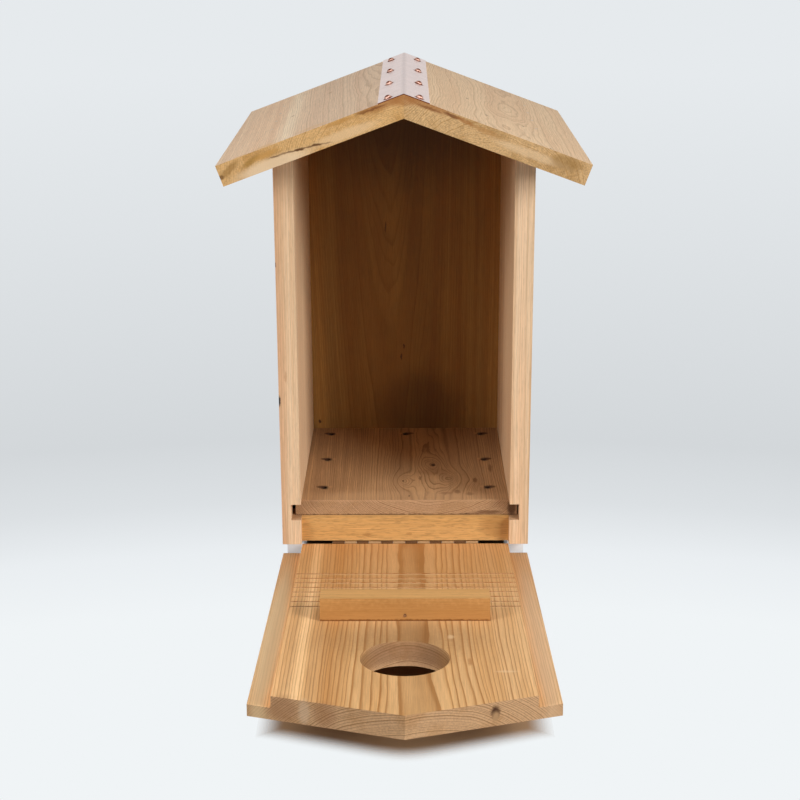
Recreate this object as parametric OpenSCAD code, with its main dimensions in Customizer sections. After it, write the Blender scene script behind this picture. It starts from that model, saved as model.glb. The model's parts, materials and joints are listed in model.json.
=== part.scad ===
// Cedar owl nest box with a gabled roof, a copper ridge strip and a drop-down front door.
// Millimetres. X is across the box, +Y points out of the rear face, Z is up.
// The origin is on the rear face of the back board, at the middle of its bottom edge.

/* [Boards] */
// Thickness of the back, rail, door and roof boards
board_t = 19; // [15:0.5:25]
// Thickness of the two side boards
side_t = 18.5; // [14:0.5:25]
// Thickness of the floor board
floor_t = 15.8; // [12:0.1:20]

/* [Box] */
// Clear width between the two side boards
inner_w = 204; // [180:1:260]
// Depth of the side boards, from front edge to rear edge
side_d = 254; // [220:1:320]
// Height of the roof's underside at the ridge, above the base
gable_h = 429; // [380:1:520]

/* [Roof] */
// Slope of the two roof boards, in degrees
roof_pitch = 20.4; // [12:0.2:30]
// Length of each roof board down the slope, from the ridge line
roof_slope_l = 173; // [155:0.5:220]
// How far the roof stands out in front of the side boards
roof_overhang = 92; // [40:1:140]
// Width of each flange of the copper ridge strip
strip_flange = 23.5; // [18:0.5:40]
// Thickness of the copper sheet
strip_t = 0.8; // [0.5:0.1:1.5]
// Distance from the strip's lower edge up to the row of copper nails
copper_inset = 9.5; // [6:0.5:10]
// Distance from the roof's rear edge to the rearmost copper nail
copper_rear = 31.5; // [10:0.5:34]
// Distance between the copper nails along the ridge
copper_pitch = 101.5; // [60:0.5:110]

/* [Floor and rail] */
// Height of the front rail
rail_h = 25.4; // [18:0.2:40]
// How far the rail's front face lies behind the front edges of the sides
rail_setback = 9.5; // [8:0.5:14]
// How far the floor's front edge lies behind the front edges of the sides
floor_setback = 14; // [12:0.5:24]
// Depth of the groove in each side that holds the floor
dado_depth = 9.5; // [5:0.5:12]
// Slack of the floor across the grooves, both ends together
floor_slack = 5; // [1:0.5:8]
// How far the floor sits towards the right in its grooves
floor_shift = 1; // [-1.5:0.1:1.5]
// Spare height of the groove over the floor
dado_play = 0.3; // [0.2:0.1:1]
// Diameter of a drain hole
drain_d = 6.4; // [4:0.2:10]
// Half the distance between the left and the right drain holes
drain_x = 82; // [50:1:84]
// Distance from the back board to the rearmost drain holes
drain_rear = 20.5; // [12:0.5:35]
// Distance between the rows of drain holes
drain_pitch = 83; // [50:1:85]
// Number of rows of drain holes
drain_rows = 3; // [1:1:3]

/* [Door] */
// Angle between the modelled door and the shut door, in degrees
door_open = 84.5; // [0:0.5:180]
// Depth of the rebate along the door's long edges, half of the board
rebate = 9.5; // [6:0.5:12]
// Clearance between the door's raised panel and each side board
door_side_gap = 0.5; // [0.4:0.1:2]
// Gap between the shut door and the underside of the roof
door_top_gap = 3; // [1.5:0.5:8]
// Gap between the rail and the raised panel of the shut door
door_rail_gap = 1; // [0.6:0.1:2]

/* [Entry hole and ladder] */
// Diameter of the entry hole
hole_d = 72.5; // [45:0.5:90]
// Height of the hole's centre, half way through the door, over the door's bottom end
hole_h = 313.5; // [280:0.5:325]
// Slant of the hole, which sinks towards the inside, in degrees
hole_slant = 19.5; // [0:0.5:20]
// Number of ladder grooves in the door's inner face
kerf_count = 8; // [2:1:8]
// Height of the lowest ladder groove over the door's bottom end
kerf_first = 94.5; // [50:0.5:98]
// Distance between ladder grooves
kerf_pitch = 13; // [8:0.5:14]
// Width of a ladder groove
kerf_w = 2.4; // [1.5:0.1:4]
// Depth of a ladder groove
kerf_depth = 1.5; // [1:0.1:4]

/* [Perch block] */
// Length of the block across the door
perch_l = 145.5; // [100:0.5:180]
// Size of the block along the door
perch_t = 25; // [15:0.5:30]
// Height of the block over the door's inner face
perch_h = 20; // [12:0.5:22]
// Height of the block's lower face over the door's bottom end
perch_at = 198; // [198:0.5:240]

/* [Hinge] */
// Number of knuckles
knuckle_count = 12; // [4:2:16]
// Length of one knuckle with its share of the gaps
knuckle_pitch = 12; // [9:0.5:12.5]
// Gap between neighbouring knuckles
knuckle_gap = 0.4; // [0.2:0.1:0.8]
// Thickness of a leaf
leaf_t = 0.9; // [0.7:0.1:1.4]
// Width of a leaf from the pin's centre to its free edge
leaf_w = 16; // [12:0.5:17]
// Diameter of the hinge pin
pin_d = 1.7; // [1.4:0.1:2.4]
// Number of screws in each leaf
leaf_screws = 4; // [2:1:6]
// Diameter of a hinge screw's shank
screw_d = 2.4; // [1.8:0.1:3]
// Length of a hinge screw
screw_l = 14; // [10:0.5:18]

/* [Nails] */
// Diameter of a finish nail's shank
nail_d = 1.6; // [1.2:0.1:2.2]
// Diameter of a finish nail's head
nail_head_d = 2.8; // [2.4:0.1:4]
// Length of a finish nail in the walls
nail_l = 50; // [40:1:64]
// Length of a finish nail in the roof
roof_nail_l = 40; // [34:1:42]
// Distance from a side board's end to its outermost back nail
nail_end = 22; // [15:1:40]
// Number of nails from each side board into the back board
back_nail_count = 5; // [2:1:7]
// Number of nails from each side board into the floor
floor_nail_count = 3; // [2:1:5]
// Distance from the floor's front or rear edge to its outermost nail
floor_nail_end = 38; // [15:1:60]
// Number of nails from each side board into an end of the rail
rail_nail_count = 2; // [2:1:3]
// Distance from the rail's upper or lower face to its nails
rail_nail_end = 7; // [5:0.5:8]
// Number of nails from each roof board into a side board
roof_nail_count = 5; // [2:1:7]
// Distance from the side board's front or rear edge to its outermost roof nail
roof_nail_end = 19; // [17:1:40]
// Distance from the side board's inner face to the outer roof nail in the back board
gable_nail_end = 26; // [18:1:40]
// Distance between the roof nails in the back board
gable_nail_pitch = 35; // [20:1:50]
// Length of the brad in the perch block
brad_l = 28; // [22:1:30]
// Height of the brad's head over the door's inner face
brad_h = 5; // [3:0.5:8]
// Slant of the brad into the door, in degrees
brad_slant = 35; // [20:1:50]
// Diameter of a copper nail's head
copper_head_d = 7.2; // [5:0.1:10]
// Height of a copper nail's domed head
copper_dome = 2.8; // [0.8:0.1:3]
// Length of a copper nail under its head
copper_nail_l = 16; // [10:0.5:17]
// Diameter of a copper nail's shank
copper_shank_d = 2.8; // [2:0.1:3.4]

/* [Hanging hole] */
// Diameter of the hole for the hanging screw
hang_d = 7; // [5:0.5:10]
// Distance from the hole's centre down from the top of the gable
hang_drop = 29; // [24:0.5:45]

/* [Hidden] */
$fn = 48;

cedar_pale = "#e0b888";
cedar_gold = "#d9a866";
cedar_brown = "#b98452";
copper_pink = "#e3cdc8";
copper_brown = "#8a4b35";
alu_grey = "#c9cbcc";
steel_grey = "#9a9a98";

through = 1;                       // how far a cutting shape passes a face
snug = 0.05;                       // radial clearance round a shank or pin
tan_pitch = tan(roof_pitch);
outer_w = inner_w + 2 * side_t;
half_in = inner_w / 2;
half_out = outer_w / 2;

// Roof
ridge_h = gable_h + board_t / cos(roof_pitch);
roof_l = side_d + roof_overhang;
roof_front = -roof_l;

// Floor
floor_top = rail_h + floor_t;
floor_w = inner_w + 2 * dado_depth - floor_slack;
floor_front = -side_d + floor_setback;
floor_rear = -board_t;
rail_front = -side_d + rail_setback;

// Hinge: the barrel hangs just under the joint between rail and door
barrel_r = pin_d / 2 + snug + leaf_t;
barrel_drop = 0.3;
hinge_l = knuckle_count * knuckle_pitch;
hinge_y = rail_front - door_rail_gap / 2;
hinge_z = -barrel_r - barrel_drop;
leaf_start = barrel_r + barrel_drop;
screw_row = (leaf_start + leaf_w) / 2;
screw_head_d = 2 * screw_d;
screw_spread = (hinge_l - 2 * knuckle_pitch) / (leaf_screws - 1);

// Door, in its shut place
panel_half = half_in - door_side_gap;
door_h = gable_h - door_top_gap;
door_face = hinge_y - door_rail_gap / 2;

// Nails, in evenly spaced rows
function row(count, from, to) = [for (i = [0 : count - 1]) from + i * (to - from) / (count - 1)];
nail_head_t = 1;
side_top = gable_h - half_out * tan_pitch;
back_nail_y = -board_t / 2;
back_nail_z = row(back_nail_count, nail_end, side_top - nail_end);
floor_nail_y = row(floor_nail_count, floor_front + floor_nail_end, floor_rear - floor_nail_end);
rail_nail_z = row(rail_nail_count, rail_nail_end, rail_h - rail_nail_end);
roof_nail_y = row(roof_nail_count, -roof_nail_end, -side_d + roof_nail_end);
// A roof nail stands square to its board, so each row lies down the slope from what it enters
gable_nail_s = [for (i = [0 : 1]) half_in - gable_nail_end - i * gable_nail_pitch];
side_nail_s = (half_in + side_t / 2) / cos(roof_pitch) + (roof_nail_l + board_t) / 2 * tan_pitch;

// Copper nails
copper_s = strip_flange - copper_inset;
copper_y = [for (y = [-copper_rear : -copper_pitch : roof_front + copper_head_d]) y];

// The box's section across: flat base, upright sides and a gable top
module gable_outline(half, low, peak) {
    polygon([[-half, low], [half, low], [half, peak - half * tan_pitch], [0, peak],
             [-half, peak - half * tan_pitch]]);
}

// Stands a flat X-Z outline up and gives it a depth from y = back towards the front
module upright(back, depth) {
    translate([0, back, 0]) rotate([90, 0, 0]) linear_extrude(depth) children();
}

// A finish nail along -Z with its head's top at the origin
module finish_nail(l, grow = 0) {
    translate([0, 0, -l]) cylinder(h = l - nail_head_t / 2, r = nail_d / 2 + grow);
    translate([0, 0, -nail_head_t]) cylinder(h = nail_head_t, r = nail_head_d / 2 + grow);
}

// The cut that a finish nail needs, open at the surface
module finish_nail_hole(l) {
    finish_nail(l, snug);
    cylinder(h = through, r = nail_head_d / 2 + snug);
}

// Places for nails driven sideways through a side board: hand is -1 left, 1 right
module at_side(hand, points) {
    for (p = points) translate([hand * half_out, p[0], p[1]]) rotate([0, hand * 90, 0]) children();
}

back_nail_points = [for (z = back_nail_z) [back_nail_y, z]];
floor_nail_points = [for (y = floor_nail_y) [y, rail_h + floor_t / 2]];
rail_nail_points = [for (z = rail_nail_z) [rail_front + board_t / 2, z]];
wall_nail_points = concat(back_nail_points, floor_nail_points, rail_nail_points);

// Places on a roof board's top face: hand is -1 left, 1 right; each point is [slope, y]
module on_roof(hand, points) {
    for (p = points) translate([0, p[1], ridge_h]) rotate([0, hand * roof_pitch, 0])
        translate([hand * p[0], 0, 0]) children();
}

roof_side_points = [for (y = roof_nail_y) [side_nail_s, y]];
gable_points = [for (s = gable_nail_s) [s, back_nail_y]];
copper_points = [for (y = copper_y) [copper_s, y]];

// The cuts of every roof nail
module roof_nail_cuts(hand) {
    on_roof(hand, concat(roof_side_points, gable_points)) finish_nail_hole(roof_nail_l);
}

module side_board(hand) {
    difference() {
        upright(0, side_d) intersection() {
            gable_outline(half_out, 0, gable_h);
            translate([hand > 0 ? half_in : -half_out, 0]) square([side_t, gable_h]);
        }
        translate([hand > 0 ? half_in - through : -half_in - dado_depth, -side_d - through, rail_h])
            cube([dado_depth + through, side_d + 2 * through, floor_t + dado_play]);
        at_side(hand, wall_nail_points) finish_nail_hole(nail_l);
        on_roof(hand, roof_side_points) finish_nail_hole(roof_nail_l);
    }
}

module left_side() {
    color(cedar_pale) side_board(-1);
}

module right_side() {
    color(cedar_pale) side_board(1);
}

module back_panel() {
    color(cedar_brown) difference() {
        upright(0, board_t) gable_outline(half_in, 0, gable_h);
        translate([0, through, gable_h - hang_drop]) rotate([90, 0, 0])
            cylinder(h = board_t + 2 * through, d = hang_d);
        for (hand = [-1, 1]) {
            at_side(hand, back_nail_points) finish_nail_hole(nail_l);
            on_roof(hand, gable_points) finish_nail_hole(roof_nail_l);
        }
    }
}

drain_points = concat(
    [for (i = [0 : drain_rows - 1], hand = [-1, 1])
        [hand * drain_x, floor_rear - drain_rear - i * drain_pitch]],
    [[0, floor_rear - drain_rear]]);

module floor_panel() {
    color(cedar_brown) difference() {
        translate([floor_shift - floor_w / 2, floor_front, rail_h])
            cube([floor_w, floor_rear - floor_front, floor_t]);
        for (p = drain_points) translate([p[0], p[1], rail_h - through])
            cylinder(h = floor_t + 2 * through, d = drain_d);
        for (hand = [-1, 1]) at_side(hand, floor_nail_points) finish_nail_hole(nail_l);
    }
}

// A hinge screw along -Z with its head's top at the origin
module leaf_screw(grow = 0) {
    translate([0, 0, -screw_l]) cylinder(h = screw_l - screw_d / 2, r = screw_d / 2 + grow);
    translate([0, 0, -screw_d / 2]) cylinder(h = screw_d / 2, r1 = screw_d / 2 + grow,
        r2 = screw_head_d / 2 + grow);
}

// The hinge screw itself, with its cross slot
module cross_head_screw() {
    difference() {
        leaf_screw();
        for (turn = [0, 90]) rotate([0, 0, turn])
            translate([-screw_d * 0.6, -screw_d / 8, -screw_d / 3])
                cube([screw_d * 1.2, screw_d / 4, screw_d]);
    }
}

// The cut of a hinge screw, open at the surface
module leaf_screw_hole() {
    leaf_screw(snug);
    cylinder(h = through, r = screw_head_d / 2 + snug);
}

// Screw places, measured from the pin: side is 1 under the rail, -1 under the shut door
module leaf_screw_places(side) {
    for (i = [0 : leaf_screws - 1])
        translate([(i - (leaf_screws - 1) / 2) * screw_spread, side * screw_row, -hinge_z - leaf_t])
            rotate([180, 0, 0]) children();
}

module at_hinge() {
    translate([0, hinge_y, hinge_z]) children();
}

// Turns what is drawn in the door's shut place into its open place
module swung() {
    at_hinge() rotate([door_open, 0, 0]) translate([0, -hinge_y, -hinge_z]) children();
}

module front_rail() {
    color(cedar_gold) difference() {
        translate([-half_in, rail_front, 0]) cube([inner_w, board_t, rail_h]);
        for (hand = [-1, 1]) at_side(hand, rail_nail_points) finish_nail_hole(nail_l);
        at_hinge() leaf_screw_places(1) leaf_screw_hole();
    }
}

module roof_board(hand) {
    slope = [hand * cos(roof_pitch), -sin(roof_pitch)];
    inward = [-hand * sin(roof_pitch), -cos(roof_pitch)];
    eave = [0, ridge_h] + slope * roof_slope_l;
    difference() {
        upright(0, roof_l) polygon([[0, ridge_h], eave, eave + inward * board_t, [0, gable_h]]);
        roof_nail_cuts(hand);
        on_roof(hand, copper_points) translate([0, 0, -copper_nail_l])
            cylinder(h = copper_nail_l + through, r = copper_shank_d / 2 + snug);
    }
}

module roof_left() {
    color(cedar_gold) roof_board(-1);
}

module roof_right() {
    color(cedar_gold) roof_board(1);
}

module ridge_strip() {
    rise = strip_t / cos(roof_pitch);
    run = strip_flange * cos(roof_pitch);
    drop = strip_flange * sin(roof_pitch);
    color(copper_pink) difference() {
        upright(0, roof_l) translate([0, ridge_h]) polygon([
            [0, 0], [run, -drop], [run + strip_t * sin(roof_pitch), -drop + strip_t * cos(roof_pitch)],
            [0, rise], [-run - strip_t * sin(roof_pitch), -drop + strip_t * cos(roof_pitch)],
            [-run, -drop]]);
        for (hand = [-1, 1]) on_roof(hand, copper_points) translate([0, 0, -through])
            cylinder(h = 2 * through + strip_t, r = copper_shank_d / 2 + snug);
    }
}

// A domed copper nail, its shank along -Z from the top face of the strip
module copper_nail() {
    dome_r = (pow(copper_head_d / 2, 2) + pow(copper_dome, 2)) / (2 * copper_dome);
    translate([0, 0, strip_t]) {
        intersection() {
            translate([0, 0, copper_dome - dome_r]) sphere(r = dome_r, $fn = 96);
            cylinder(h = copper_dome, d = copper_head_d);
        }
    }
    translate([0, 0, -copper_nail_l]) cylinder(h = copper_nail_l + strip_t + copper_dome / 4,
        d = copper_shank_d);
}

module ridge_nails_left() {
    color(copper_brown) on_roof(-1, copper_points) copper_nail();
}

module ridge_nails_right() {
    color(copper_brown) on_roof(1, copper_points) copper_nail();
}

// The brad's line: into the block's upper face and slanting down into the door
module brad_place() {
    translate([0, door_face + brad_h, perch_at + perch_t]) rotate([-brad_slant, 0, 0]) children();
}

module door_panel() {
    color(cedar_gold) swung() difference() {
        union() {
            upright(door_face, rebate + through) gable_outline(panel_half, 0, door_h);
            upright(door_face - rebate, board_t - rebate) gable_outline(half_out, 0, door_h);
        }
        translate([0, door_face - board_t / 2, hole_h]) rotate([90 - hole_slant, 0, 0])
            cylinder(h = 2 * hole_d, d = hole_d, center = true, $fn = 96);
        for (i = [0 : kerf_count - 1])
            translate([-half_out, door_face - kerf_depth, kerf_first + i * kerf_pitch - kerf_w / 2])
                cube([outer_w, kerf_depth + through, kerf_w]);
        at_hinge() leaf_screw_places(-1) leaf_screw_hole();
        brad_place() finish_nail_hole(brad_l);
    }
}

module perch_block() {
    color(cedar_gold) swung() difference() {
        translate([-perch_l / 2, door_face, perch_at]) cube([perch_l, perch_h, perch_t]);
        brad_place() finish_nail_hole(brad_l);
    }
}

module perch_brad() {
    color(steel_grey) swung() brad_place() finish_nail(brad_l);
}

// One leaf with its own knuckles, drawn round the pin's centre. side is 1 for the rail's
// leaf, which takes the even knuckles, and -1 for the door's leaf, which takes the odd ones
module leaf(side) {
    first = side > 0 ? 0 : 1;
    difference() {
        union() {
            translate([-hinge_l / 2, side > 0 ? leaf_start : -leaf_w, -hinge_z - leaf_t])
                cube([hinge_l, leaf_w - leaf_start, leaf_t]);
            for (i = [first : 2 : knuckle_count - 1])
                translate([-hinge_l / 2 + i * knuckle_pitch + knuckle_gap / 2, 0, 0]) {
                    rotate([0, 90, 0]) cylinder(h = knuckle_pitch - knuckle_gap, r = barrel_r);
                    translate([0, side > 0 ? 0 : -leaf_start - snug, barrel_r - leaf_t])
                        cube([knuckle_pitch - knuckle_gap, leaf_start + snug, leaf_t + barrel_drop]);
                }
        }
        rotate([0, 90, 0]) cylinder(h = hinge_l + 2 * through, r = pin_d / 2 + snug, center = true);
        leaf_screw_places(side) leaf_screw_hole();
    }
}

module hinge_rail_leaf() {
    color(alu_grey) at_hinge() leaf(1);
}

module hinge_door_leaf() {
    color(alu_grey) swung() at_hinge() leaf(-1);
}

module hinge_pin() {
    color(steel_grey) at_hinge() rotate([0, 90, 0]) cylinder(h = hinge_l, d = pin_d, center = true);
}

module rail_leaf_screws() {
    color(steel_grey) at_hinge() leaf_screw_places(1) cross_head_screw();
}

module door_leaf_screws() {
    color(steel_grey) swung() at_hinge() leaf_screw_places(-1) cross_head_screw();
}

module wall_nails(hand, points) {
    color(steel_grey) at_side(hand, points) finish_nail(nail_l);
}

module back_nails_left() {
    wall_nails(-1, back_nail_points);
}

module back_nails_right() {
    wall_nails(1, back_nail_points);
}

module floor_nails_left() {
    wall_nails(-1, floor_nail_points);
}

module floor_nails_right() {
    wall_nails(1, floor_nail_points);
}

module rail_nails_left() {
    wall_nails(-1, rail_nail_points);
}

module rail_nails_right() {
    wall_nails(1, rail_nail_points);
}

module roof_nails_left() {
    color(steel_grey) on_roof(-1, roof_side_points) finish_nail(roof_nail_l);
}

module roof_nails_right() {
    color(steel_grey) on_roof(1, roof_side_points) finish_nail(roof_nail_l);
}

module roof_back_nails() {
    color(steel_grey) for (hand = [-1, 1]) on_roof(hand, gable_points) finish_nail(roof_nail_l);
}

left_side();
right_side();
back_panel();
floor_panel();
front_rail();
roof_left();
roof_right();
ridge_strip();
ridge_nails_left();
ridge_nails_right();
door_panel();
perch_block();
perch_brad();
hinge_rail_leaf();
hinge_door_leaf();
hinge_pin();
rail_leaf_screws();
door_leaf_screws();
back_nails_left();
back_nails_right();
floor_nails_left();
floor_nails_right();
rail_nails_left();
rail_nails_right();
roof_nails_left();
roof_nails_right();
roof_back_nails();
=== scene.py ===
"""The looks of a cedar nest box with a copper ridge strip and a drop-down front door.

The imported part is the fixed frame. Each board keeps its solid and gets the wood of a log of its own:
the growth rings are circles round a pith line that lies where the photograph's end grain puts it, so
face grain, edge grain and end grain agree on every side. Lengths in the classes are millimetres in
the part's frame (X across, +Y out of the rear face, Z up), and Blender works in metres.
"""

from __future__ import annotations

import json
import logging
import math
from collections.abc import Callable
from dataclasses import dataclass
from enum import Enum

import bmesh
import bpy
from mathutils import Matrix, Vector

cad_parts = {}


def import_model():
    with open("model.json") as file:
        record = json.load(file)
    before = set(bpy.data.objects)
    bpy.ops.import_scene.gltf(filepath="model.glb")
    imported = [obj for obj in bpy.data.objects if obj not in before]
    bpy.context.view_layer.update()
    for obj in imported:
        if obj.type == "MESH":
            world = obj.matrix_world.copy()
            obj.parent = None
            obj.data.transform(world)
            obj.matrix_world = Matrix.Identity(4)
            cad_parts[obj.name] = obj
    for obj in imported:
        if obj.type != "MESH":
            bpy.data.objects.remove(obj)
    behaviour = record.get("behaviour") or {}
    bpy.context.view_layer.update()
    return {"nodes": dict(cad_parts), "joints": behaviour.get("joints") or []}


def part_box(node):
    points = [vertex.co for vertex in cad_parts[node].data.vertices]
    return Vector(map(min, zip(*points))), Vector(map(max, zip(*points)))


log = logging.getLogger("nest_box")

MM = 0.001
NEUTRAL = "#BCBCBC"
Point = tuple[float, float, float]
Socket = bpy.types.NodeSocket

# The setting that a word after the dot of a node's kind chooses
MODES = {
    "Math": "operation", "VectorMath": "operation", "Mix": "data_type", "MapRange": "interpolation_type",
    "Mapping": "vector_type", "TexNoise": "noise_dimensions", "TexWhiteNoise": "noise_dimensions"}


def linear(colour: str) -> tuple[float, float, float, float]:
    """Turns an sRGB hex colour into linear RGBA.

    Args:
        colour: six hex digits with a leading hash.

    Returns:
        The colour as Blender's sockets take it.
    """
    parts = [int(colour[i : i + 2], 16) / 255 for i in (1, 3, 5)]
    curve = [c / 12.92 if c <= 0.04045 else ((c + 0.055) / 1.055) ** 2.4 for c in parts]
    return (*curve, 1.0)


class Tree:
    """A node tree under construction.

    Attributes:
        place: the point in the part's frame.
        normal: the surface's direction in the part's frame.
        way: the direction of sight, in a world.
    """

    def __init__(self, tree: bpy.types.NodeTree) -> None:
        """Empties the tree and adds its coordinates.

        Args:
            tree: the material's or the world's own tree.
        """
        self.tree = tree
        tree.nodes.clear()
        coords = self.add("TexCoord").node.outputs
        self.place, self.normal, self.way = coords["Object"], coords["Normal"], coords["Generated"]

    def add(self, kind: str, *inputs: object, out: str = "", **settings: object) -> Socket | None:
        """Adds a node with its settings and its inputs.

        Args:
            kind: the node's type, with its mode after a dot where it has one.
            inputs: a socket to link or a value to hold for each input in turn, or a dictionary of these
                by the inputs' names.
            out: the output to hand back, if not the first.
            settings: other attributes of the node.

        Returns:
            The output, or None from a node that has none.
        """
        kind, _, mode = kind.partition(".")
        node = self.tree.nodes.new("ShaderNode" + kind)
        if mode:
            settings[MODES[kind]] = mode
        for name, value in settings.items():
            setattr(node, name, value)
        # A mode switches off the sockets that it has no use for
        ends, outs = ([end for end in side if end.enabled] for side in (node.inputs, node.outputs))
        named = inputs[0] if inputs and isinstance(inputs[0], dict) else dict(enumerate(inputs))
        for place, value in named.items():
            end = ends[place] if isinstance(place, int) else node.inputs[place]
            if isinstance(value, Socket):
                self.tree.links.new(value, end)
            else:
                end.default_value = value
        if out:
            return node.outputs[out]
        return outs[0] if outs else None


def set_stops(ramp: Socket, stops: tuple[tuple[float, float | str], ...]) -> None:
    """Places the stops of a colour ramp.

    Args:
        ramp: the ramp's output.
        stops: each stop's place, and its hex colour or its level of grey.
    """
    elements = ramp.node.color_ramp.elements
    for i, (at, value) in enumerate(stops):
        stop = elements[i] if i < 2 else elements.new(at)
        stop.position = at
        stop.color = linear(value) if isinstance(value, str) else (value, value, value, 1)


def new_material(name: str) -> tuple[bpy.types.Material, Tree]:
    """Makes an empty node material.

    Args:
        name: the finish's name.

    Returns:
        The material and its tree.
    """
    material = bpy.data.materials.new(name)
    material.use_nodes = True
    return material, Tree(material.node_tree)


def dress(node: bpy.types.Object, material: bpy.types.Material) -> None:
    """Puts one material on every slot of a part's node and reports it.

    Args:
        node: the part's node.
        material: its finish.
    """
    if not node.material_slots:
        node.data.materials.append(material)
    for slot in node.material_slots:
        slot.material = material
    log.info("%s: %s", node.name, material.name)


class GrainWay(Enum):
    """Turn in degrees that takes a log's frame (x across the board, z along the grain) to the part's."""

    UPRIGHT = (0.0, 0.0, 0.0)
    ACROSS = (0.0, 90.0, 0.0)


@dataclass(frozen=True)
class Streak:
    """A band of other colour that runs along the grain.

    Attributes:
        at: distance of its middle from the pith, across the board.
        width: distance from its middle to where it has faded.
        colour: its tint, where #BCBCBC leaves the wood as it is and paler lifts it.
        share: how strongly it tints the wood.
    """

    at: float
    width: float
    colour: str
    share: float


@dataclass(frozen=True)
class Mark:
    """A small spot such as a pin knot, resin or a scuff.

    Attributes:
        at: its middle in the part's frame.
        radii: its half sizes.
        colour: its colour.
        share: how strongly it covers the wood.
        tilt: turn about the part's Y axis in degrees.
    """

    at: Point
    radii: Point
    colour: str
    share: float = 1.0
    tilt: float = 0.0


@dataclass(frozen=True)
class Swirl:
    """A place where the rings bulge round a hidden branch.

    Attributes:
        at: its middle in the part's frame.
        radii: half sizes of the bulge.
        push: how far it pushes the rings away from the pith.
    """

    at: Point
    radii: Point
    push: float


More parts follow.
